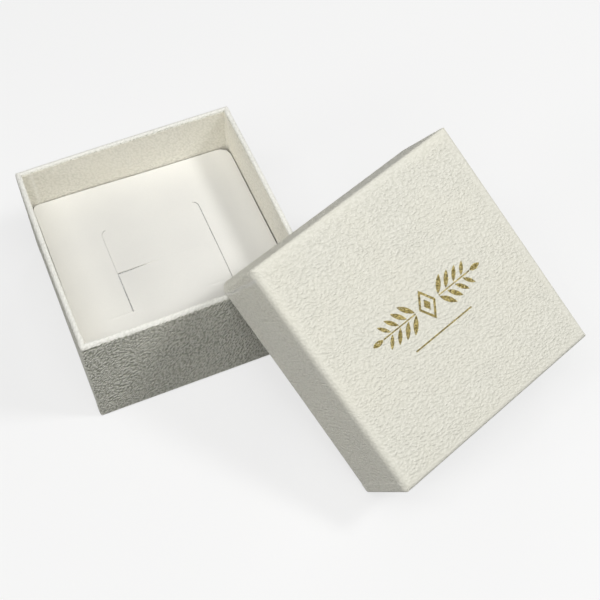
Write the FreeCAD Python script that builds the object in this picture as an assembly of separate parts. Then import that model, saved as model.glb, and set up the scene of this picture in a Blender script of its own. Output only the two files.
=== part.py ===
import FreeCAD, Part
import math
import os

from FreeCAD import Placement, Rotation, Vector

# Rigid two-piece jewelry gift box, in millimetres.
# Origin: centre of the base's underside, on the table.  +X right, +Y back, +Z up.
# The base stands open.  The lid is off: one rim edge stands on the table in front,
# and one side wall leans on the base's front edge.

# ---- base tray
base_width = 70.0        # outside, along X
base_depth = 70.0        # outside, along Y
base_height = 38.5       # outside

# ---- lid
lid_height = 28.0        # outside, top face to rim
lid_gap = 0.3            # air between the closed lid's inside and the base, each side

# ---- the wall's layers, the same on both trays
board = 1.2              # grey board
wrap = 0.2               # embossed covering paper
liner = 0.1              # smooth lining paper
tape = 0.1               # gummed tape that holds the board's corners
tape_leg = 12.0          # width of the tape on each side of a corner
tape_gap = 2.0           # tape stops this far from the rim and from the floor board
turn_in = 15.0           # covering paper folded over the rim and down the inside
ear = 3.0                # covering paper of the front and back lapped round the corners
liner_drop = 1.0         # lining paper stops this far below the rim

# ---- insert
insert_gap = 0.3         # air round the pad and the card, each side
pad_height = 20.0        # foam pad
card = 0.3               # slit card on the pad
card_corner = 4.0        # rounded corners of the card
flap_width = 31.6        # between the two long slits
slit = 0.3               # width of every cut
cross_slit_y = -2.0      # the cut between the two flaps
back_crease_y = 15.2     # where the back flap folds
front_crease_y = -17.4   # where the front flap folds
hook = 2.0               # the long slits curve inwards by this at the back crease

# ---- foil ornament on the lid's top
foil = 0.03              # height above the paper
sprig_reach = 21.0       # from the centre to the tip of each sprig
sprig_start = 4.6        # from the centre to the stem's near end
stem = 0.4               # width of a stem
leaf_length = 5.8        # at the stem's near end
leaf_width = 1.6
leaf_pairs = 4           # on each sprig
leaf_angle = 50.0        # between a leaf and its stem
leaf_taper = 0.08        # each pair is this share shorter than the one before
foil_gap = 0.15          # bare paper between a leaf and its stem
gem_width = 6.4
gem_height = 9.6
gem_line = 0.7           # width of the gem's outline
bar_length = 22.0        # thin bar under the sprigs
bar_width = 0.45
bar_drop = 8.2           # from the centre down to the bar

# ---- how the lid leans
lean_turn = 20.0         # degrees about Z, from the base's sides to the lid's sides
lean_overhang = 4.5      # the lid's side wall runs on past the base's edge by this
lean_x = 10.4            # where it crosses the base's front edge, from the centre
lean_gap = 0.05          # air where the two trays would touch

rim = board + 2 * wrap
wall = rim + liner
floor = wrap + board + liner
lid_width = base_width + 2 * (lid_gap + wall)
lid_depth = base_depth + 2 * (lid_gap + wall)
card_top = floor + pad_height + card


def slab(x0, x1, y0, y1, z0, z1):
    """Box between two corners."""
    return Part.makeBox(x1 - x0, y1 - y0, z1 - z0, Vector(x0, y0, z0))


def ring(hx, hy, thick, z0, z1):
    """Rectangular ring whose outside is 2*hx by 2*hy."""
    outer = slab(-hx, hx, -hy, hy, z0, z1)
    return outer.cut(slab(thick - hx, hx - thick, thick - hy, hy - thick, z0, z1))


def corner_tapes(hx, hy, z0, z1):
    """Four angles of tape round the outside corners of the boards."""
    band = ring(hx + tape, hy + tape, tape, z0, z1)
    keep = []
    for sx in (-1, 1):
        for sy in (-1, 1):
            x = sorted((sx * (hx + tape), sx * (hx - tape_leg)))
            y = sorted((sy * (hy + tape), sy * (hy - tape_leg)))
            keep.append(band.common(slab(x[0], x[1], y[0], y[1], z0, z1)))
    return Part.makeCompound([solid for angle in keep for solid in angle.Solids])


def boards(hx, hy, z0, z1, name):
    """Four wall boards: front and back run the full width, left and right fit between."""
    return {
        f"front_{name}": slab(-hx, hx, -hy, board - hy, z0, z1),
        f"back_{name}": slab(-hx, hx, hy - board, hy, z0, z1),
        f"left_{name}": slab(-hx, board - hx, board - hy, hy - board, z0, z1),
        f"right_{name}": slab(hx - board, hx, board - hy, hy - board, z0, z1),
    }


def side_wraps(hx, hy, height, tapes):
    """Covering paper of the four sides: outside, over the rim and down the inside."""
    inner = wrap + board
    sheet = ring(hx, hy, wrap, wrap, height)
    sheet = sheet.fuse(ring(hx - wrap, hy - wrap, board, height - wrap, height))
    sheet = sheet.fuse(ring(hx - inner, hy - inner, wrap, height - turn_in, height))
    sheet = sheet.cut(tapes)
    pieces = {}
    for name, sy in (("wrap_front", -1), ("wrap_back", 1)):
        y = sorted((sy * hy, sy * (hy - rim)))
        reach = slab(-hx, hx, y[0], y[1], 0, height)
        y = sorted((sy * hy, sy * (hy - ear)))
        for sx in (-1, 1):
            x = sorted((sx * hx, sx * (hx - wrap)))
            reach = reach.fuse(slab(x[0], x[1], y[0], y[1], 0, height))
        pieces[name] = sheet.common(reach)
    between = sheet.cut(pieces["wrap_front"]).cut(pieces["wrap_back"])
    pieces["wrap_left"] = between.common(slab(-hx, 0, -hy, hy, 0, height))
    pieces["wrap_right"] = between.common(slab(0, hx, -hy, hy, 0, height))
    return pieces


def side_liners(hx, hy, height):
    """Lining paper on the four inside faces, over the covering paper's folded-in edge."""
    z0 = floor
    z1 = height - liner_drop
    folded = ring(hx, hy, wrap, height - turn_in, height)
    thick = wrap + liner
    front = slab(-hx, hx, -hy, thick - hy, z0, z1)
    back = slab(-hx, hx, hy - thick, hy, z0, z1)
    left = slab(-hx, thick - hx, thick - hy, hy - thick, z0, z1)
    right = slab(hx - thick, hx, thick - hy, hy - thick, z0, z1)
    return {
        "front_liner": front.cut(folded),
        "back_liner": back.cut(folded),
        "left_liner": left.cut(folded),
        "right_liner": right.cut(folded),
    }


def tray(width, depth, height):
    """All layers of one open tray, standing on its floor at z = 0."""
    hx = width / 2
    hy = depth / 2
    bx = hx - wrap
    by = hy - wrap
    board_top = wrap + board
    parts = {"floor_board": slab(-bx, bx, -by, by, wrap, board_top)}
    parts.update(boards(bx, by, board_top, height - wrap, "board"))
    tapes = corner_tapes(bx, by, board_top + tape_gap, height - wrap - tape_gap)
    parts["corner_tapes"] = tapes
    parts["wrap_floor"] = slab(-hx, hx, -hy, hy, 0, wrap)
    parts.update(side_wraps(hx, hy, height, tapes))
    ix = bx - board
    iy = by - board
    parts["floor_liner"] = slab(-ix, ix, -iy, iy, board_top, floor)
    parts.update(side_liners(ix, iy, height))
    return parts


def prism(edges, z, height):
    """Upright solid over a closed outline of edges."""
    face = Part.Face(Part.Wire(edges))
    face.translate(Vector(0, 0, z))
    return face.extrude(Vector(0, 0, height))


def leaf(start_x, start_y, length, width, turn, z):
    """Flat leaf: two equal arcs from tip to tip, turned about its near tip."""
    near = Vector(0, 0, 0)
    tip = Vector(length, 0, 0)
    upper = Part.Arc(near, Vector(length / 2, width / 2, 0), tip).toShape()
    lower = Part.Arc(tip, Vector(length / 2, -width / 2, 0), near).toShape()
    shape = prism([upper, lower], z, foil)
    shape.rotate(near, Vector(0, 0, 1), turn)
    shape.translate(Vector(start_x, start_y, 0))
    return shape


def rhombus(width, height):
    """Closed outline with its corners on the axes."""
    right = Vector(width / 2, 0, 0)
    top = Vector(0, height / 2, 0)
    corners = [right, top, -right, -top]
    return [Part.LineSegment(a, b).toShape() for a, b in zip(corners, corners[1:] + corners[:1])]


def foil_ornament(z):
    """A gem between two leafy sprigs, over a thin bar: separate flat pieces of foil."""
    pieces = []
    outline = prism(rhombus(gem_width, gem_height), z, foil)
    scale = 1 - 2 * gem_line * math.hypot(1 / gem_width, 1 / gem_height)
    pieces.append(outline.cut(prism(rhombus(gem_width * scale, gem_height * scale), z, foil)))
    inner = scale * 0.5
    pieces.append(prism(rhombus(gem_width * inner, gem_height * inner), z, foil))
    tip_length = leaf_length * (1 - leaf_taper * leaf_pairs)
    stem_end = sprig_reach - tip_length - foil_gap
    step = (stem_end - sprig_start) / leaf_pairs
    off = stem / 2 + foil_gap
    for side in (0, 180):
        sprig = [slab(sprig_start, stem_end, -stem / 2, stem / 2, z, z + foil)]
        sprig.append(leaf(stem_end + foil_gap, 0, tip_length, leaf_width, 0, z))
        for pair in range(leaf_pairs):
            size = 1 - leaf_taper * pair
            x = sprig_start + pair * step
            for up in (-1, 1):
                sprig.append(leaf(x, up * off, leaf_length * size, leaf_width * size, up * leaf_angle, z))
        for shape in sprig:
            shape.rotate(Vector(0, 0, 0), Vector(0, 0, 1), side)
            pieces.append(shape)
    half = bar_length / 2
    pieces.append(slab(-half, half, -bar_drop - bar_width, -bar_drop, z, z + foil))
    return Part.makeCompound([solid for piece in pieces for solid in piece.Solids])


def rounded_plate(hx, hy, radius, z0, z1):
    """Flat plate with rounded upright corners."""
    plate = slab(-hx, hx, -hy, hy, z0, z1)
    upright = [e for e in plate.Edges if abs(e.Vertexes[0].Z - e.Vertexes[1].Z) > (z1 - z0) / 2]
    return plate.makeFillet(radius, upright)


def flap_outline(y_crease, y_free, hooked):
    """One flap, from its crease to its free edge; the hook narrows it at the crease."""
    half = flap_width / 2
    if not hooked:
        y0, y1 = sorted((y_crease, y_free))
        return slab(-half, half, y0, y1, card_top - card, card_top)
    bulge = hook * (1 - math.sqrt(0.5))
    edges = [
        Part.LineSegment(Vector(half - hook, y_crease, 0), Vector(hook - half, y_crease, 0)).toShape(),
        Part.Arc(Vector(hook - half, y_crease, 0), Vector(bulge - half, y_crease - bulge, 0),
                 Vector(-half, y_crease - hook, 0)).toShape(),
        Part.LineSegment(Vector(-half, y_crease - hook, 0), Vector(-half, y_free, 0)).toShape(),
        Part.LineSegment(Vector(-half, y_free, 0), Vector(half, y_free, 0)).toShape(),
        Part.LineSegment(Vector(half, y_free, 0), Vector(half, y_crease - hook, 0)).toShape(),
        Part.Arc(Vector(half, y_crease - hook, 0), Vector(half - bulge, y_crease - bulge, 0),
                 Vector(half - hook, y_crease, 0)).toShape(),
    ]
    return prism(edges, card_top - card, card)


def insert_parts():
    """Foam pad, the card on it, and the two flaps cut in the card."""
    hx = base_width / 2 - wall - insert_gap
    hy = base_depth / 2 - wall - insert_gap
    z0 = card_top - card
    back = flap_outline(back_crease_y, cross_slit_y + slit / 2, True)
    front = flap_outline(front_crease_y, cross_slit_y - slit / 2, False)
    plate = rounded_plate(hx, hy, card_corner, z0, card_top)
    half = flap_width / 2 + slit
    window = slab(-half, half, front_crease_y, back_crease_y - hook, z0, card_top)
    middle = flap_width / 2 - hook
    window = window.fuse(slab(-middle, middle, front_crease_y, back_crease_y, z0, card_top))
    for side in (-1, 1):
        round_end = Part.makeCylinder(hook + slit, card, Vector(side * middle, back_crease_y - hook, z0))
        x = sorted((side * middle, side * half))
        quarter = slab(x[0], x[1], back_crease_y - hook, back_crease_y, z0, card_top)
        window = window.fuse(round_end.common(quarter))
    return {
        "foam_pad": slab(-hx, hx, -hy, hy, floor, z0),
        "slit_card": plate.cut(window.removeSplitter()),
        "back_flap": back,
        "front_flap": front,
    }


def lid_place():
    """Where the lid leans: its rim's front edge on the table, its left wall on the base's edge."""
    turn = math.radians(lean_turn)
    contact_run = lid_depth - lean_overhang
    tilt = math.asin((base_height + lean_gap) / contact_run)
    downhill = Vector(math.sin(turn), -math.cos(turn), 0)
    along = Vector(math.cos(turn), math.sin(turn), 0)
    contact = Vector(lean_x, -base_depth / 2, 0)
    foot = contact + downhill * (contact_run * math.cos(tilt)) + along * (lid_width / 2 - rim)
    rotation = Rotation(Vector(0, 0, 1), lean_turn).multiply(Rotation(Vector(1, 0, 0), math.degrees(tilt)))
    edge = rotation.multVec(Vector(0, -lid_depth / 2, 0))
    return Placement(foot - edge, rotation)


def write(name, shape):
    """One file per node."""
    shape.exportStep(f"parts/{name}.step")


def main():
    os.makedirs("parts", exist_ok=True)
    for name, shape in tray(base_width, base_depth, base_height).items():
        write(f"base_{name}", shape)
    for name, shape in insert_parts().items():
        write(name, shape)
    place = lid_place()
    lid = {}
    for name, shape in tray(lid_width, lid_depth, lid_height).items():
        turned = shape.mirror(Vector(0, 0, 0), Vector(0, 0, 1))
        turned.translate(Vector(0, 0, lid_height))
        lid[name.replace("floor", "top")] = turned
    lid["foil_ornament"] = foil_ornament(lid_height)
    for name, shape in lid.items():
        shape.Placement = place.multiply(shape.Placement)
        write(f"lid_{name}", shape)


main()
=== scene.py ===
import math
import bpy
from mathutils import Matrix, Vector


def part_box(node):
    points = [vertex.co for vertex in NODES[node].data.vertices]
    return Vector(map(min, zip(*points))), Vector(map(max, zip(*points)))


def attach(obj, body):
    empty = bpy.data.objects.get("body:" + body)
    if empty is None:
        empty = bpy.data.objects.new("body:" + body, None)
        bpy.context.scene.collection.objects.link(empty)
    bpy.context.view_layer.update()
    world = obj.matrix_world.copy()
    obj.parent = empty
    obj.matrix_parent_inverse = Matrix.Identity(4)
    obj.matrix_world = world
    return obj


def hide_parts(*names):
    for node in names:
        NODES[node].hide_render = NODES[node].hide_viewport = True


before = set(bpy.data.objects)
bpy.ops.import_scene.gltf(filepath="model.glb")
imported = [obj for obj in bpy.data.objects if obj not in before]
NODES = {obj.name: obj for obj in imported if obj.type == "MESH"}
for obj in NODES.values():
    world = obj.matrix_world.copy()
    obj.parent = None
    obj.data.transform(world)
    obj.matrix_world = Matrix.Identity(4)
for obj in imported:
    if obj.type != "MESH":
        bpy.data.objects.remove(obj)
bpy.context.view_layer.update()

from types import SimpleNamespace

import bmesh
import bpy
import numpy as np
from mathutils import Matrix, Vector, noise

# Everything is worked out in millimetres and made in metres.
MM = 0.001
PAPER = 0.2         # covering paper
RIM = 1.6           # board with the covering paper on both sides
LINER = 0.1         # lining paper
FLOOR = 1.5         # floor board with its papers
TURN_IN = 15.0      # covering paper folded over the rim and down the inside
EAR = 3.0           # covering paper lapped round the corners
LAP = 0.12          # step where one sheet lies on another
LINER_DROP = 1.0    # how far below the rim the wall linings end
CARD_ROUND = 4.0    # the card's corners

RIM_OUT = 1.1       # round of the rim's outer edge
RIM_IN = 0.5        # round of its inner edge
CORNER_ROUND = 0.7  # round of the upright edges
LOOSE_CORNER = 2.1  # how much rounder the lid's back left one gets towards the rim


# ---- the two trays and where they are

def lid_place():
    """The lid's own axes in the shared frame, origin at the middle of the rim's plane, top face up."""
    areas = {}
    for p in NODES["lid_top_board"].data.polygons:
        key = tuple(round(c, 3) for c in p.normal)
        areas[key] = areas.get(key, 0) + p.area
    largest = max(areas.values())
    up = Vector(next(k for k, a in areas.items() if a > 0.9 * largest and k[2] > 0)).normalized()
    across = Vector(max((k for k, a in areas.items() if a < 0.5 * largest), key=lambda k: k[0]))
    across = (across - up * across.dot(up)).normalized()
    ahead = up.cross(across)
    turn = Matrix((across, ahead, up)).transposed()
    walls = ["lid_wrap_front", "lid_wrap_back", "lid_wrap_top"]
    co = np.array([turn.transposed() @ v.co for n in walls for v in NODES[n].data.vertices])
    low, high = co.min(0), co.max(0)
    origin = turn @ Vector(((low[0] + high[0]) / 2, (low[1] + high[1]) / 2, low[2]))
    return Matrix.Translation(origin) @ turn.to_4x4(), (high - low) / MM


# In the order front, right, back, left, bow is how far each wall's middle moves in at the rim (out where it
# is negative) and edges how round the edges of the flat face are. sag is how far that face is set back there.
low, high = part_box("base_wrap_floor")
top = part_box("base_wrap_front")[1].z
base = SimpleNamespace(
    name="base", place=Matrix.Identity(4), hx=(high.x - low.x) / 2 / MM, hy=(high.y - low.y) / 2 / MM,
    height=top / MM, flipped=False, bow=(-0.35, -0.3, -0.2, -0.4), sag=0.05, edges=(0.9, 0.9, 0.9, 0.9))
place, size = lid_place()
lid = SimpleNamespace(
    name="lid", place=place, hx=size[0] / 2, hy=size[1] / 2,
    height=size[2], flipped=True, bow=(0.12, 0.1, 0.12, 0.18), sag=0.1, edges=(1.3, 1.2, 1.3, 2.3))


def rounded(a, b, radius):
    """Rounds the edge where the depths a and b below two faces are both nothing."""
    m = np.clip(radius - a, 0, radius)
    n = np.clip(radius - b, 0, radius)
    limit = 2 * radius ** 2
    return a + m - m * np.sqrt(1 - n * n / limit), b + n - n * np.sqrt(1 - m * m / limit)


def smooth(x, low, high):
    """0 up to low and 1 from high on, with a soft step between them."""
    t = np.clip((x - low) / (high - low), 0, 1)
    return t * t * (3 - 2 * t)


def soften(co, tray):
    """Rounds a tray's edges and bows its walls a little. co is in the tray's own axes."""
    x, y = co[:, 0], co[:, 1]
    depth = tray.height - co[:, 2] if tray.flipped else co[:, 2].copy()
    u, v = tray.hx - np.abs(x), tray.hy - np.abs(y)

    def inset(change):
        """Adds to the depth below the nearest side, and to both at a corner."""
        d = np.minimum(u, v)
        return np.where(u - d < 1e-5, change, 0), np.where(v - d < 1e-5, change, 0)

    d = np.minimum(u, v)
    front, right, back, left = tray.edges
    towards_v = smooth(u - v, -3, 3)
    radius = np.where(x < 0, left, right) * (1 - towards_v) + np.where(y < 0, front, back) * towards_v
    new, depth = rounded(d, depth, radius)
    du, dv = inset(new - d)
    u, v = u + du, v + dv
    depth = depth + tray.sag * (1 - smooth(np.minimum(u, v), 0, 6)) * (1 - smooth(depth, 0, 4))

    under = tray.height - depth
    d = np.minimum(u, v)
    new, under = rounded(d, under, RIM_OUT)
    du, dv = inset(new - d)
    u, v = u + du, v + dv
    d = np.minimum(u, v)
    wall = d <= RIM + 1e-4
    new, below = rounded(RIM - d, under, RIM_IN)
    du, dv = inset(np.where(wall, RIM - new - d, 0))
    u, v = u + du, v + dv
    under = np.where(wall, below, under)
    depth = tray.height - under

    radius = np.full(len(co), CORNER_ROUND)
    if tray.flipped:
        loose = (x < 0) & (y > 0)
        radius = np.where(loose, CORNER_ROUND + LOOSE_CORNER * smooth(depth, 3, tray.height), radius)
    u, v = rounded(u, v, radius)

    share = depth / tray.height
    front, right, back, left = tray.bow
    near_u, near_v = 1 - smooth(u, 2.2, 4), 1 - smooth(v, 2.2, 4)
    along_x, along_y = 1 - (x / tray.hx) ** 2, 1 - (y / tray.hy) ** 2
    clear = 1 if tray.flipped else 1 - smooth(x, -14, 6)  # straight where the lid leans on the base's front
    v = v + np.where(y < 0, front * clear, back) * near_v * along_x * share ** 2
    u = u + np.where(x < 0, left, right) * near_u * along_y * share ** 2
    out = np.empty_like(co)
    out[:, 0] = np.sign(x) * (tray.hx - u)
    out[:, 1] = np.sign(y) * (tray.hy - v)
    out[:, 2] = tray.height - depth if tray.flipped else depth
    return out


# ---- making meshes

# distances from an end of a straight leg at which it is cut
NEAR = (0, 0.1, 0.2, 0.32, 0.46, 0.62, 0.82, 1.05, 1.35, 1.75, 2.3,
        EAR - 0.05, EAR + 0.05, 3.9, 5.5, 8, 12, 17, 23, 30)
COARSE = (0, 0.2, 0.45, 0.8, 1.4, 3, 7, 15, 25)


def spaced(length, near=NEAR):
    """Distances along a straight leg, close together near both ends."""
    half = [d for d in near if d < length / 2 - 0.02]
    return half + [length / 2] + [length - d for d in reversed(half)]


def profile(corners):
    """Stations (inset, depth, run) along straight legs; run is 0 where the floor meets the wall."""
    out = []
    run = -math.dist(corners[0], corners[1])
    for i, (a, b) in enumerate(zip(corners, corners[1:])):
        length = math.dist(a, b)
        steps = spaced(length)[:-1]
        if i == 0:
            steps = [0] + [t for t in steps if t > length / 2]
        if i == len(corners) - 2:
            steps = [t for t in steps if t < length / 2]
        for t in steps:
            out.append((a[0] + (b[0] - a[0]) * t / length, a[1] + (b[1] - a[1]) * t / length, run + t))
        run += length
    out.append((*corners[-1], run))
    return np.array(out)


def outline(hx, hy):
    """Points round a rectangle, and the side that each next step runs along: front, right, back, left."""
    corners = [(-hx, -hy), (hx, -hy), (hx, hy), (-hx, hy), (-hx, -hy)]
    points, sides = [], []
    for side, (a, b) in enumerate(zip(corners, corners[1:])):
        length = math.dist(a, b)
        for t in spaced(length)[:-1]:
            points.append((a[0] + (b[0] - a[0]) * t / length, a[1] + (b[1] - a[1]) * t / length))
            sides.append(side)
    return np.array(points), np.array(sides)


def waver(t, seed, size):
    """A slow wander of the given size, the same every time."""
    values = [noise.noise(Vector((float(k) * 0.11, seed, 0.5))) for k in np.ravel(t)]
    return size * np.array(values).reshape(np.shape(t))


def round_inside(co, tray, amount):
    """Rounds the inner corners of a tray's lining, more towards the rim."""
    u, v = tray.hx - np.abs(co[:, 0]), tray.hy - np.abs(co[:, 1])
    low = tray.height - co[:, 2] if tray.flipped else co[:, 2]
    radius = 0.3 + amount * (1 - smooth(low, 6, tray.height))
    inner = (u > RIM - 0.05) & (v > RIM - 0.05)
    a, b = rounded(np.maximum(u - RIM, 0), np.maximum(v - RIM, 0), radius)
    co[:, 0] = np.where(inner, np.sign(co[:, 0]) * (tray.hx - RIM - a - np.minimum(u - RIM, 0)), co[:, 0])
    co[:, 1] = np.where(inner, np.sign(co[:, 1]) * (tray.hy - RIM - b - np.minimum(v - RIM, 0)), co[:, 1])


def lay_flat(mesh, tray, x, y, run, sides):
    """The UV map: where each point lies on the flat sheet, in millimetres."""
    count, around = x.shape
    flat = np.empty((4, count, around, 2))
    for side, (axis, sign) in enumerate(((1, -1), (0, 1), (1, 1), (0, -1))):
        flat[side, :, :, 0], flat[side, :, :, 1] = x, y
        flat[side, :, :, axis] = sign * ((tray.hx, tray.hy)[axis] + run[:, None])
    flat = flat.reshape(4, -1, 2)
    loops = np.empty(len(mesh.loops), int)
    mesh.loops.foreach_get("vertex_index", loops)
    side_of = np.zeros(len(mesh.loops), int)
    quads = (count - 1) * around
    side_of[:quads * 4] = np.repeat(np.tile(sides, count - 1), 4)
    layer = mesh.uv_layers.new(name="flat_sheet")
    layer.uv.foreach_set("vector", flat[side_of, loops].astype(np.float32).ravel())


def swept_sheet(name, tray, corners, laps, lap, outer_legs, inner_round=0.0, rim_highlight=0.0):
    """A closed thin sheet folded into a tray: the profile swept round the tray's four sides.

    laps says which sides have a strip lapped over them at their corners. Up to the run outer_legs it is
    raised by lap, out of the tray or, where lap is negative, into it.
    """
    stations = profile(corners)
    points, sides = outline(tray.hx, tray.hy)
    inset, depth, run = stations.T
    count, around = len(stations), len(points)
    scale_x = (tray.hx - inset) / tray.hx
    scale_y = (tray.hy - inset) / tray.hy
    x = points[None, :, 0] * scale_x[:, None]
    y = points[None, :, 1] * scale_y[:, None]
    from_x, from_y = tray.hx - np.abs(points[:, 0]), tray.hy - np.abs(points[:, 1])
    to_corner = np.where((sides == 0) | (sides == 2), from_x, from_y)

    # the lap's edge wanders a little along its length
    near = (to_corner > 2) & (to_corner < 4.5)
    wander = waver(run, 3.0 if tray.flipped else 7.0, 0.5)[:, None] * near[None, :]
    along_x = np.isin(sides, (0, 2))[None, :] * wander
    along_y = np.isin(sides, (1, 3))[None, :] * wander
    x = x - np.sign(points[None, :, 0]) * along_x
    y = y - np.sign(points[None, :, 1]) * along_y

    step_in, step_down = np.gradient(inset), np.gradient(depth)
    length = np.hypot(step_in, step_down)
    into = step_down / length
    sink = -step_in / length
    has_lap = laps(points[:, 0], points[:, 1], sides)
    lapped = has_lap * (to_corner < EAR) * smooth(to_corner, 0, 1)
    fade = smooth(run, 0.4, 1.6) * (run < outer_legs)
    amount = -lap * fade[:, None] * lapped[None, :]

    # white along the laps' cut edges, most at the lid's loose corner, is real wear; the white on the rim is a
    # painted highlight where the rim catches the light
    loose = (points[:, 0] < 0) & (points[:, 1] > 0) if tray.flipped else np.full(around, 0.25)
    at_cut = (np.abs(to_corner - EAR) < 0.1) * (has_lap * (0.12 + 0.6 * loose))
    on_rim = 1 - smooth(np.abs(run - tray.height - RIM / 2), 1.0, 2.1)
    white_edge_and_rim_highlight = np.maximum(at_cut[None, :] * fade[:, None], rim_highlight * on_rim[:, None])
    # taut: the grain is flattest on the rim and along the folds
    taut = np.maximum(on_rim, 0.75 * (1 - smooth(np.abs(run), 0.8, 4.0)))
    taut = np.repeat(taut[:, None], around, 1)

    z = np.repeat(depth[:, None], around, 1)
    co = np.stack([x, y, tray.height - z if tray.flipped else z], -1).reshape(-1, 3)
    co = soften(co, tray)
    if inner_round:
        round_inside(co, tray, inner_round)
    grid = co.reshape(count, around, 3)
    along = np.isin(sides, (1, 3))
    grid[:, :, 0] -= np.sign(x) * amount * into[:, None] * along[None, :]
    grid[:, :, 1] -= np.sign(y) * amount * into[:, None] * ~along[None, :]
    grid[:, :, 2] += (-1 if tray.flipped else 1) * amount * sink[:, None]

    faces = []
    for k in range(count - 1):
        for j in range(around):
            n = (j + 1) % around
            faces.append((k * around + j, k * around + n, (k + 1) * around + n, (k + 1) * around + j))
    faces.append(tuple(reversed(range(around))))
    faces.append(tuple(range((count - 1) * around, count * around)))
    mesh = bpy.data.meshes.new(name)
    mesh.from_pydata((grid.reshape(-1, 3) * MM).tolist(), [], faces)

    lay_flat(mesh, tray, x, y, run, sides)
    for key, values in (("white_edge_and_rim_highlight", white_edge_and_rim_highlight), ("taut", taut)):
        mark = mesh.attributes.new(key, "FLOAT", "POINT")
        mark.data.foreach_set("value", values.astype(np.float32).ravel())
    return finish_mesh(name, mesh, tray)


def finish_mesh(name, mesh, tray, sharp=0.7):
    """Faces out, shaded smooth except across sharp edges, and placed with its tray."""
    bm = bmesh.new()
    bm.from_mesh(mesh)
    bmesh.ops.recalc_face_normals(bm, faces=bm.faces)
    for f in bm.faces:
        f.smooth = True
    for e in bm.edges:
        e.smooth = e.calc_face_angle(0) < sharp
    bm.to_mesh(mesh)
    bm.free()
    piece = bpy.data.objects.new(name, mesh)
    bpy.context.scene.collection.objects.link(piece)
    piece.matrix_world = tray.place.copy()
    return piece


def recut(node, name, tray, cuts, shape):
    """A new piece with a CAD node's form, cut into a grid and then shaped by shape(co)."""
    bm = bmesh.new()
    bm.from_mesh(NODES[node].data)
    bm.transform(Matrix.Scale(1 / MM, 4) @ tray.place.inverted())
    bmesh.ops.remove_doubles(bm, verts=bm.verts, dist=1e-3)
    bmesh.ops.dissolve_limit(bm, angle_limit=0.005, verts=bm.verts, edges=bm.edges)
    for axis in range(3):
        normal = Vector([float(k == axis) for k in range(3)])
        low = min(v.co[axis] for v in bm.verts)
        high = max(v.co[axis] for v in bm.verts)
        for at in cuts(axis, low, high):
            if low + 0.01 < at < high - 0.01:
                geom = bm.verts[:] + bm.edges[:] + bm.faces[:]
                bmesh.ops.bisect_plane(bm, geom=geom, dist=1e-4, plane_co=normal * at, plane_no=normal)
    bmesh.ops.triangulate(bm, faces=[f for f in bm.faces if len(f.verts) > 4])
    mesh = bpy.data.meshes.new(name)
    bm.to_mesh(mesh)
    bm.free()
    co = np.empty(len(mesh.vertices) * 3)
    mesh.vertices.foreach_get("co", co)
    co = shape(co.reshape(-1, 3)) * MM
    mesh.vertices.foreach_set("co", co.ravel())
    piece = finish_mesh(name, mesh, tray, 0.5)
    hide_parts(node)
    return piece


def near_ends(axis, low, high):
    """Cuts that lie close together near a node's two ends."""
    return [low + t for t in spaced(high - low, COARSE)]


def every(step, *extra):
    """Even cuts, and extra ones as pairs of axis and place."""
    def cuts(axis, low, high):
        count = max(1, round((high - low) / step))
        even = [low + (high - low) * k / count for k in range(1, count)]
        return sorted(even + [at for a, at in extra if a == axis])
    return cuts


# ---- materials

def node_material(name, roughness, **fixed):
    """An empty node material with its shader; uniform values sit on the shader's own sockets."""
    m = bpy.data.materials.new(name)
    m.use_nodes = True
    t = m.node_tree
    shader = t.nodes["Principled BSDF"]
    shader.inputs["Roughness"].default_value = roughness
    for key, value in fixed.items():
        shader.inputs[key.replace("_", " ")].default_value = value
    return m, t, shader


def add(t, kind, inputs=None, **settings):
    """A node with its inputs set or linked and its settings set."""
    n = t.nodes.new(kind)
    for key, value in settings.items():
        setattr(n, key, value)
    for key, value in (inputs or {}).items():
        if isinstance(value, bpy.types.NodeSocket):
            t.links.new(value, n.inputs[key])
        else:
            n.inputs[key].default_value = value
    return n


def noise_texture(t, vector, scale, detail, roughness=0.5, dimensions="3D"):
    inputs = {"Vector": vector, "Scale": scale, "Detail": detail, "Roughness": roughness}
    return add(t, "ShaderNodeTexNoise", inputs, noise_dimensions=dimensions)


def vector_maths(t, operation, inputs):
    return add(t, "ShaderNodeVectorMath", inputs, operation=operation).outputs[0]


def maths(t, operation, a, b=None, c=None):
    values = {k: v for k, v in enumerate((a, b, c)) if v is not None}
    return add(t, "ShaderNodeMath", values, operation=operation).outputs[0]


def mixed(t, factor, a, b):
    """Colour a where factor is 0 and b where it is 1."""
    n = add(t, "ShaderNodeMix", data_type="RGBA")
    for socket, value in ((n.inputs[0], factor), (n.inputs[6], a), (n.inputs[7], b)):
        if isinstance(value, bpy.types.NodeSocket):
            t.links.new(value, socket)
        else:
            socket.default_value = value if isinstance(value, (int, float)) else (*value, 1.0)
    return n.outputs[2]


def spread(t, value, low, high, to_low=0.0, to_high=1.0):
    """Maps low to to_low and high to to_high, and stays between them."""
    inputs = {"Value": value, "From Min": low, "From Max": high, "To Min": to_low, "To Max": to_high}
    return add(t, "ShaderNodeMapRange", inputs, clamp=True).outputs[0]


def bumped(t, shader, height, depth):
    """depth is the height of 1, in millimetres."""
    bump = add(t, "ShaderNodeBump", {"Height": height, "Strength": 1.0, "Distance": depth * MM})
    t.links.new(bump.outputs["Normal"], shader.inputs["Normal"])


GRAIN_CELL = 0.8                # size of the embossed leather grain
GRAIN_STRETCH = (1.3, 0.88, 1.0)


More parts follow.
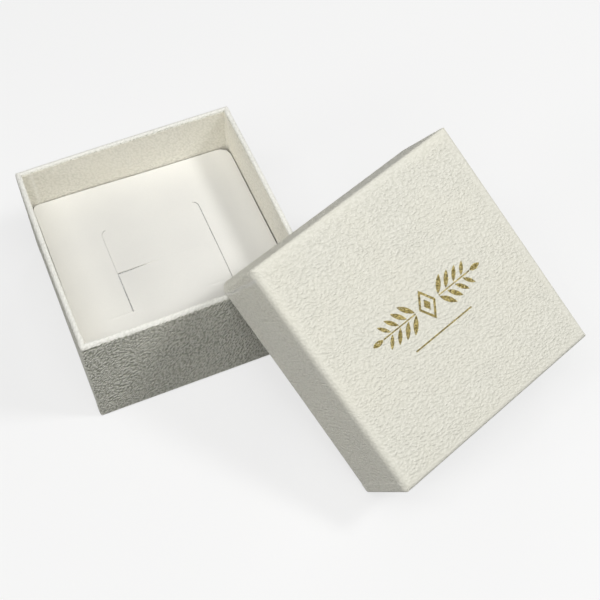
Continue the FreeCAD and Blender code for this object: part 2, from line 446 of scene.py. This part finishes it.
def grain(t, vector, turn, dimensions="2D"):
    """Height of embossed leather grain: long soft ridges that wander. vector is in millimetres."""
    def layer(at, scale, detail):
        return noise_texture(t, at, scale / GRAIN_CELL, detail, dimensions=dimensions).outputs

    flow = layer(vector, 0.075, 1.0)["Color"]
    wander = layer(vector, 0.42, 1.0)["Color"]
    push = vector_maths(t, "SCALE", {0: flow, "Scale": 2.2 * GRAIN_CELL})
    shove = vector_maths(t, "SCALE", {0: wander, "Scale": 0.3 * GRAIN_CELL})
    moved = vector_maths(t, "ADD", {0: vector_maths(t, "ADD", {0: vector, 1: push}), 1: shove})
    laid = {"Vector": moved, "Rotation": (0, 0, turn), "Scale": GRAIN_STRETCH}
    at = add(t, "ShaderNodeMapping", laid, vector_type="TEXTURE").outputs[0]
    cells = {"Vector": at, "Scale": 1 / GRAIN_CELL, "Smoothness": 0.7}
    pebble = add(t, "ShaderNodeTexVoronoi", cells, voronoi_dimensions=dimensions, feature="SMOOTH_F1")
    ripple = layer(at, 1, 1.5)[0]
    fold = layer(at, 0.85, 1.0)[0]
    dome = spread(t, pebble.outputs["Distance"], 0.1, 0.7, 1.0, 0.0)
    wave = spread(t, ripple, 0.25, 0.75)
    gap = spread(t, maths(t, "ABSOLUTE", maths(t, "SUBTRACT", fold, 0.5)), 0.0, 0.09)
    height = maths(t, "MULTIPLY_ADD", dome, 0.6, maths(t, "MULTIPLY", gap, 0.05))
    return maths(t, "MULTIPLY_ADD", wave, 0.5, height)


def paper(name, turn, colour, relief, shade_in_hollows):
    """Embossed paper on the flat sheet. relief is in millimetres; the last argument is how dark the painted
    shade in the grain's low places is.
    """
    m, t, shader = node_material(name, 0.52, Specular_IOR_Level=0.35)
    flat = add(t, "ShaderNodeUVMap", uv_map="flat_sheet").outputs[0]
    height = grain(t, flat, turn)
    fibre = noise_texture(t, flat, 6.0, 3.0, 0.7, "2D")
    cloud = noise_texture(t, flat, 0.045, 3.0, dimensions="2D")
    total = maths(t, "MULTIPLY_ADD", fibre.outputs[0], 0.10, height)
    # this mark carries the white cut edges, which are real wear, and the painted highlight on the rim
    edge = add(t, "ShaderNodeAttribute", attribute_name="white_edge_and_rim_highlight").outputs["Fac"]
    taut = add(t, "ShaderNodeAttribute", attribute_name="taut").outputs["Fac"]
    bumped(t, shader, maths(t, "MULTIPLY", total, spread(t, taut, 0.0, 1.0, 1.0, 0.14)), relief)
    # painted shade: the grain's low places are darkened in colour
    shaded_hollow_colour = tuple(c * (1 - shade_in_hollows * k) for c, k in zip(colour, (1.9, 1.85, 2.1)))
    low = spread(t, height, 0.25, 0.85, 1.0, 0.0)
    shade = mixed(t, low, colour, shaded_hollow_colour)
    warm = tuple(c * k for c, k in zip(colour, (0.985, 0.975, 0.94)))
    shade = mixed(t, spread(t, cloud.outputs[0], 0.35, 0.7, 0.0, 0.8), shade, mixed(t, 0.5, shade, warm))
    # whitened at the laps' cut edges, which is real wear, and on the rim, which is a painted highlight
    shade = mixed(t, maths(t, "MULTIPLY", edge, 0.85), shade, (0.93, 0.92, 0.87))
    t.links.new(shade, shader.inputs["Base Color"])
    rough = spread(t, total, 0.3, 1.2, 0.66, 0.46)
    t.links.new(rough, shader.inputs["Roughness"])
    return m


def in_mm(t):
    """The piece's own coordinates in millimetres."""
    source = add(t, "ShaderNodeTexCoord").outputs["Object"]
    return vector_maths(t, "SCALE", {0: source, "Scale": 1 / MM})


def card_material():
    m, t, shader = node_material("card_stock", 0.62, Specular_IOR_Level=0.3)
    at = in_mm(t)
    fibre = noise_texture(t, at, 2.4, 5.0, 0.65)
    long = add(t, "ShaderNodeMapping", {"Vector": at, "Scale": (0.35, 2.2, 1.0), "Rotation": (0, 0, 0.35)})
    strand = noise_texture(t, long.outputs[0], 1.3, 3.0)
    strand.inputs["Distortion"].default_value = 1.2
    cloud = noise_texture(t, at, 0.06, 2.0)
    tone = mixed(t, spread(t, cloud.outputs[0], 0.35, 0.65), (0.84, 0.83, 0.785), (0.82, 0.81, 0.77))
    tone = mixed(t, spread(t, fibre.outputs[0], 0.4, 0.75, 0.0, 0.35), tone, (0.78, 0.77, 0.725))
    t.links.new(tone, shader.inputs["Base Color"])
    t.links.new(spread(t, fibre.outputs[0], 0.3, 0.7, 0.55, 0.72), shader.inputs["Roughness"])
    bumped(t, shader, maths(t, "ADD", fibre.outputs[0], strand.outputs[0]), 0.012)
    return m


def board_material():
    m, t, shader = node_material("grey_board", 0.9, Specular_IOR_Level=0.15)
    at = in_mm(t)
    pulp = noise_texture(t, at, 3.0, 6.0, 0.75)
    speck = add(t, "ShaderNodeTexVoronoi", {"Vector": at, "Scale": 1.6}, feature="F1")
    tone = mixed(t, spread(t, pulp.outputs[0], 0.35, 0.65), (0.30, 0.285, 0.255), (0.44, 0.42, 0.385))
    tone = mixed(t, spread(t, speck.outputs["Distance"], 0.0, 0.16, 0.8, 0.0), tone, (0.12, 0.11, 0.10))
    t.links.new(tone, shader.inputs["Base Color"])
    t.links.new(spread(t, pulp.outputs[0], 0.3, 0.7, 0.82, 0.95), shader.inputs["Roughness"])
    bumped(t, shader, pulp.outputs[0], 0.05)
    return m


def tape_material():
    m, t, shader = node_material("gummed_tape", 0.55, Specular_IOR_Level=0.35)
    at = in_mm(t)
    long = add(t, "ShaderNodeMapping", {"Vector": at, "Scale": (2.0, 2.0, 0.25)})
    fibre = noise_texture(t, long.outputs[0], 2.0, 5.0, 0.7)
    tone = mixed(t, spread(t, fibre.outputs[0], 0.35, 0.65), (0.44, 0.29, 0.16), (0.58, 0.41, 0.25))
    t.links.new(tone, shader.inputs["Base Color"])
    t.links.new(spread(t, fibre.outputs[0], 0.3, 0.7, 0.45, 0.62), shader.inputs["Roughness"])
    bumped(t, shader, fibre.outputs[0], 0.02)
    return m


def foam_material():
    m, t, shader = node_material("foam_cells", 0.95, Specular_IOR_Level=0.1)
    at = in_mm(t)
    cells = add(t, "ShaderNodeTexVoronoi", {"Vector": at, "Scale": 1.7}, feature="DISTANCE_TO_EDGE")
    pits = add(t, "ShaderNodeTexVoronoi", {"Vector": at, "Scale": 0.8}, feature="F1")
    dust = noise_texture(t, at, 5.0, 4.0)
    wall = spread(t, cells.outputs["Distance"], 0.02, 0.16, 1.0, 0.0)
    pit = spread(t, pits.outputs["Distance"], 0.08, 0.28)
    # painted shade: the cells' hollows and the pits are coloured darker than the foam's cell walls
    tone = mixed(t, wall, (0.60, 0.60, 0.585), (0.80, 0.80, 0.785))
    tone = mixed(t, pit, (0.34, 0.34, 0.33), tone)
    tone = mixed(t, spread(t, dust.outputs[0], 0.4, 0.7, 0.0, 0.3), tone, (0.86, 0.86, 0.84))
    t.links.new(tone, shader.inputs["Base Color"])
    t.links.new(spread(t, dust.outputs[0], 0.3, 0.7, 0.88, 0.98), shader.inputs["Roughness"])
    bumped(t, shader, maths(t, "MULTIPLY_ADD", pit, 0.7, maths(t, "MULTIPLY", wall, 0.4)), 0.25)
    return m


def foil_material():
    """Stamped gold foil with a grain like the paper's, broken in small specks."""
    m, t, shader = node_material("gold_foil", 0.3, Metallic=1.0)
    at = in_mm(t)
    height = grain(t, at, 0.2, "3D")
    speck = noise_texture(t, at, 3.2, 3.0, 0.6)
    fine = noise_texture(t, at, 9.0, 2.0)
    tone = mixed(t, spread(t, speck.outputs[0], 0.42, 0.6), (0.07, 0.052, 0.014), (0.40, 0.33, 0.13))
    t.links.new(tone, shader.inputs["Base Color"])
    t.links.new(spread(t, fine.outputs[0], 0.3, 0.7, 0.32, 0.6), shader.inputs["Roughness"])
    bumped(t, shader, maths(t, "MULTIPLY_ADD", fine.outputs[0], 0.35, height), 0.09)
    bare = add(t, "ShaderNodeBsdfDiffuse", {"Color": (0.74, 0.71, 0.60, 1.0), "Roughness": 0.6})
    torn, pierced = spread(t, speck.outputs[0], 0.6, 0.66), spread(t, fine.outputs[0], 0.42, 0.5)
    holes = maths(t, "MULTIPLY", torn, pierced)
    both = add(t, "ShaderNodeMixShader", {0: holes, 1: shader.outputs[0], 2: bare.outputs[0]})
    t.links.new(both.outputs[0], t.nodes["Material Output"].inputs["Surface"])
    return m


def floor_material():
    m, t, shader = node_material("pale_floor", 0.8, Specular_IOR_Level=0.2,
                                 Emission_Color=(1.0, 1.0, 1.0, 1.0), Emission_Strength=0.66)
    cloud = noise_texture(t, add(t, "ShaderNodeTexCoord").outputs["Object"], 3.0, 2.0)
    tone = mixed(t, cloud.outputs[0], (0.27, 0.27, 0.268), (0.26, 0.26, 0.257))
    t.links.new(tone, shader.inputs["Base Color"])
    return m


# The same embossed paper on both trays, in two tones: the base's copy is lighter, with deeper painted shade
# in its hollows, than the lid's; the difference is painted light and shade for how light falls on each tray.
BASE_PAPER = paper("embossed_paper_base", math.radians(-59), (0.885, 0.875, 0.79), 0.62, 0.25)
LID_PAPER = paper("embossed_paper_lid", math.radians(-12), (0.815, 0.80, 0.71), 0.28, 0.06)
LINING = paper("lining_paper", math.radians(-59), (0.835, 0.81, 0.725), 0.11, 0.07)
CARD_STOCK = card_material()
BOARD = board_material()
TAPE = tape_material()
FOAM = foam_material()
FOIL = foil_material()


def dress(piece, material):
    piece.data.materials.clear()
    piece.data.materials.append(material)


# ---- the trays: boards, tapes, covering paper and lining

def ears(x, y, sides):
    """Covering paper laps round onto the left and right sides."""
    return np.isin(sides, (1, 3))


def one_end(x, y, sides):
    """Each wall's lining laps onto the next wall round."""
    front, right = (sides == 0) & (x > 0), (sides == 1) & (y > 0)
    back, left = (sides == 2) & (x < 0), (sides == 3) & (y < 0)
    return front | right | back | left


def tray_pieces(tray, cover_material, floor_name):
    def softened(co):
        return soften(co, tray)

    n, h = tray.name, tray.height
    cover = swept_sheet(f"{n}_cover", tray, [
        (tray.hx - 0.5, 0), (0, 0), (0, h), (RIM, h), (RIM, h - TURN_IN), (RIM - PAPER, h - TURN_IN),
        (RIM - PAPER, h - PAPER), (PAPER, h - PAPER), (PAPER, PAPER), (tray.hx - 0.5, PAPER)],
        # the rim is painted whiter: a painted highlight where it catches the light
        ears, LAP, h + RIM + TURN_IN, rim_highlight=0.8)
    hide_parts(*[f"{n}_wrap_{side}" for side in (floor_name, "front", "back", "left", "right")])
    dress(cover, cover_material)
    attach(cover, n)

    inner = RIM + LINER
    lining = swept_sheet(f"{n}_lining", tray, [
        (tray.hx - 0.5, FLOOR), (inner, FLOOR), (inner, h - LINER_DROP), (RIM, h - LINER_DROP),
        (RIM, FLOOR - LINER), (tray.hx - 0.5, FLOOR - LINER)],
        one_end, -LAP * 0.6, h - LINER_DROP - FLOOR, inner_round=1.8)
    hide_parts(*[f"{n}_{side}_liner" for side in (floor_name, "front", "back", "left", "right")])
    dress(lining, LINING)
    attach(lining, n)

    for side in (floor_name, "front", "back", "left", "right"):
        piece = recut(f"{n}_{side}_board", f"{n}_{side}_greyboard", tray, near_ends, softened)
        dress(piece, BOARD)
        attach(piece, n)
    tapes = recut(f"{n}_corner_tapes", f"{n}_tape_angles", tray, near_ends, softened)
    dress(tapes, TAPE)
    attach(tapes, n)


tray_pieces(base, BASE_PAPER, "floor")
tray_pieces(lid, LID_PAPER, "top")


# ---- the insert: foam, card and its two flaps

CARD_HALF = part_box("slit_card")[1].x / MM
BACK_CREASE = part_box("back_flap")[1].y / MM
FRONT_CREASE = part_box("front_flap")[0].y / MM
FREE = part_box("front_flap")[1].y / MM   # where the two flaps' free ends meet

# raised stretches of the front crease, left and right of its plain middle
LEFT_CREASE = (-23, -14.5)
FLAP_CREASE = (-17, -14.5)
RIGHT_CREASE = (7, 14)


def card_lift(x, y):
    """The card curls up at its back left corner and dips at its back right one."""
    back = np.clip((y + 10) / (CARD_HALF + 10), 0, 1) ** 1.35
    lift = back * (0.3 - 0.95 * x / CARD_HALF)
    left = -0.25 * smooth(-x, CARD_HALF - 9, CARD_HALF) * (1 - back)
    wave = 0.10 * np.sin(x * 0.13 + 0.5) * np.sin(y * 0.11 + 1.2)
    return lift + left + wave


def front_lift(x, y):
    """The front flap's free left corner dips."""
    t = np.clip((y - FRONT_CREASE) / (FREE - FRONT_CREASE), 0, 1)
    return -0.45 * t ** 1.5 * (1 - smooth(x, -13, 0))


def back_lift(x, y):
    """The back flap's free left corner stands up a little."""
    t = np.clip((BACK_CREASE - y) / (BACK_CREASE - FREE), 0, 1)
    return 0.03 * t ** 2 * (1 - smooth(x, -10, 0))


def crease(x, y, span):
    """A raised line along the front crease, between span's two ends."""
    ridge = 0.13 * np.exp(-((y - FRONT_CREASE - 0.1) / 0.3) ** 2)
    return ridge * smooth(x, span[0], span[0] + 1) * (1 - smooth(x, span[1] - 1, span[1]))


def shaped_card(co):
    x, y = co[:, 0], co[:, 1]
    # the back left corner is cut tighter than the others
    a, b = x + CARD_HALF - CARD_ROUND, y - CARD_HALF + CARD_ROUND
    r = np.hypot(a, b) + 1e-9
    tight = ((np.abs(a) / r) ** 5 + (np.abs(b) / r) ** 5) ** -0.2
    corner = (a < 0) & (b > 0)
    grow = np.where(corner, 1 + (tight - 1) * np.clip(r / CARD_ROUND, 0, 1), 1)
    co[:, 0] = np.where(corner, a * grow - CARD_HALF + CARD_ROUND, x)
    co[:, 1] = np.where(corner, b * grow + CARD_HALF - CARD_ROUND, y)
    x, y = co[:, 0], co[:, 1]
    co[:, 2] += card_lift(x, y) + crease(x, y, LEFT_CREASE) + crease(x, y, RIGHT_CREASE)
    return co


def spread_flap(co, left, right):
    """Moves a flap's two sides out by left and right, so that it nearly fills its cuts."""
    reach = np.abs(co[:, 0]).max()
    co[:, 0] += np.where(co[:, 0] < 0, -left, right) * np.clip(np.abs(co[:, 0]) / reach, 0, 1) ** 4


def shaped_front(co):
    spread_flap(co, -0.08, 0.1)
    x, y = co[:, 0], co[:, 1]
    co[:, 1] += np.where(y > FREE - 0.05, 0.285 * smooth(x, -14, -5), 0)
    co[:, 2] += front_lift(x, y) + card_lift(x, y)
    co[:, 2] += crease(x, y, FLAP_CREASE) + crease(x, y, RIGHT_CREASE)
    return co


def shaped_back(co):
    spread_flap(co, 0.24, 0.05)
    x, y = co[:, 0], co[:, 1]
    co[:, 2] += back_lift(x, y) + card_lift(x, y)
    return co


crease_cuts = [(1, FRONT_CREASE + d) for d in (-0.7, -0.45, -0.2, 0.0, 0.1, 0.35, 0.6, 0.9)]
card_sheet = recut("slit_card", "card_sheet", base, every(1.6, *crease_cuts), shaped_card)
back_tongue = recut("back_flap", "back_tongue", base, every(1.2), shaped_back)
front_tongue = recut("front_flap", "front_tongue", base, every(1.2, *crease_cuts), shaped_front)
for piece, body in ((card_sheet, "insert"), (back_tongue, "back_flap"), (front_tongue, "front_flap")):
    dress(piece, CARD_STOCK)
    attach(piece, body)


def shaped_foam(co):
    """Cut foam: soft edges, uneven faces, pressed down where the card is low."""
    x, y, z = co.T.copy()
    low, high = co.min(0), co.max(0)
    u, v = high[0] - np.abs(x), high[1] - np.abs(y)
    top, bottom = high[2] - z, z - low[2]
    u, v = rounded(u, v, 1.2)

    def soft_edge(u, v, face):
        """Rounds the edge between a face and the nearest side."""
        d = np.minimum(u, v)
        new, face = rounded(d, face, 0.9)
        return u + np.where(u - d < 1e-5, new - d, 0), v + np.where(v - d < 1e-5, new - d, 0), face

    u, v, top = soft_edge(u, v, top)
    u, v, bottom = soft_edge(u, v, bottom)
    ripple = np.array([noise.noise(Vector(p) * 0.13) for p in co])
    u = u + np.where(u < 1, 0.12 + 0.12 * ripple, 0)
    v = v + np.where(v < 1, 0.12 + 0.12 * ripple, 0)
    inside = (np.abs(x) < 15.8) & (y < FREE) & (y > FRONT_CREASE)
    press = np.minimum(card_lift(x, y), 0) + np.where(inside, front_lift(x, y), 0) - 0.08
    z = np.where(top < bottom, high[2] - top, low[2] + bottom)
    z = z + press * (z - low[2]) / (high[2] - low[2])
    return np.stack([np.sign(x) * (high[0] - u), np.sign(y) * (high[1] - v), z], -1)


foam = recut("foam_pad", "foam_block", base, every(1.1), shaped_foam)
dress(foam, FOAM)
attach(foam, "insert")

foil = NODES["lid_foil_ornament"]
foil.data.materials.clear()
foil.data.materials.append(FOIL)


# ---- floor, light and camera

FLOOR_HALF = 12         # metres
FLOOR_DROP = 0.03 * MM  # just below the object
LAMP_TARGET = Vector((0.02, -0.02, 0.02))
LAMP_DISTANCE = 0.9     # metres
CAMERA_AT = Vector((-44.4, -238.1, 341.0))  # millimetres
CAMERA_AIM = Vector((36.74, -19.27, 0.0))  # the place on the table in the middle of the picture
CAMERA_ROLL = math.radians(-2.556)

bm = bmesh.new()
bmesh.ops.create_grid(bm, x_segments=12, y_segments=12, size=FLOOR_HALF)
mesh = bpy.data.meshes.new("floor")
bm.to_mesh(mesh)
bm.free()
ground = bpy.data.objects.new("floor", mesh)
ground.location = (0, 0, -FLOOR_DROP)
mesh.materials.append(floor_material())
bpy.context.scene.collection.objects.link(ground)
ground.visible_diffuse = False  # shows pale, but doesn't light the box from below


def area_light(name, towards, size, power):
    """A square light seen from the target in the direction towards."""
    data = bpy.data.lights.new(name, "AREA")
    data.shape = "SQUARE"
    data.size = size
    data.energy = power
    lamp = bpy.data.objects.new(name, data)
    direction = Vector(towards).normalized()
    lamp.location = LAMP_TARGET + direction * LAMP_DISTANCE
    lamp.rotation_mode = "QUATERNION"
    lamp.rotation_quaternion = direction.to_track_quat("Z", "Y")
    lamp.visible_camera = False
    bpy.context.scene.collection.objects.link(lamp)


area_light("key", (0.6, -0.3, 0.8), 0.16, 3.3)
area_light("overhead", (-0.1, -0.4, 1.0), 0.6, 3.7)
area_light("left", (-0.5, -0.1, 0.87), 0.16, 0.6)
area_light("fill", (-0.9, -0.2, 0.4), 0.3, 2.1)
area_light("back", (0.6, 0.8, 0.2), 0.3, 1.5)

world = bpy.data.worlds.new("studio")
world.use_nodes = True
world.node_tree.nodes["Background"].inputs["Color"].default_value = (1.0, 1.0, 1.0, 1.0)
world.node_tree.nodes["Background"].inputs["Strength"].default_value = 0.10
bpy.context.scene.world = world
bpy.context.scene.view_settings.view_transform = "Standard"

lens = bpy.data.cameras.new("camera")
lens.lens = 77.18
lens.sensor_width = 36.0
lens.clip_start = 0.01
camera = bpy.data.objects.new("camera", lens)
towards = (CAMERA_AIM - CAMERA_AT).to_track_quat("-Z", "Y").to_matrix().to_4x4()
camera.matrix_world = Matrix.Translation(CAMERA_AT * MM) @ towards @ Matrix.Rotation(CAMERA_ROLL, 4, "Z")
bpy.context.scene.collection.objects.link(camera)
bpy.context.scene.camera = camera
